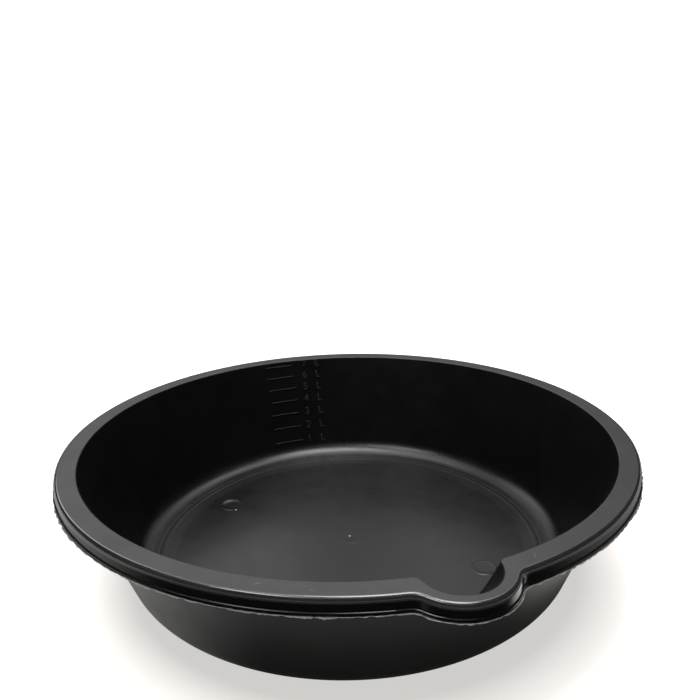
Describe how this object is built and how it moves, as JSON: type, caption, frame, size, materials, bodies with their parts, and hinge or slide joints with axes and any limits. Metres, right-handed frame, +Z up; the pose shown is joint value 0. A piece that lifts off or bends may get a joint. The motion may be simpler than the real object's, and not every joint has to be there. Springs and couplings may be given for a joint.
{
  "type": "oil drain pan",
  "caption": "Shallow round pan with a drafted wall, a rolled-down rim, a pouring spout and raised litre marks, for catching drained engine oil.",
  "frame": {"origin": "on the pan's axis, on the flat underside that it rests on", "axes": "+Z up out of the mouth, -Y towards the pouring spout, +X to the right when facing the pan from the spout's side"},
  "size_m": [0.394, 0.4084, 0.0875],
  "materials": {
    "black_polypropylene": "black injection-moulded polypropylene: satin inside and on the rim's top face, glossier on the rim's rounded edge and skirt"
  },
  "bodies": {
    "root": {"pan": "black_polypropylene"}
  },
  "joints": []
}
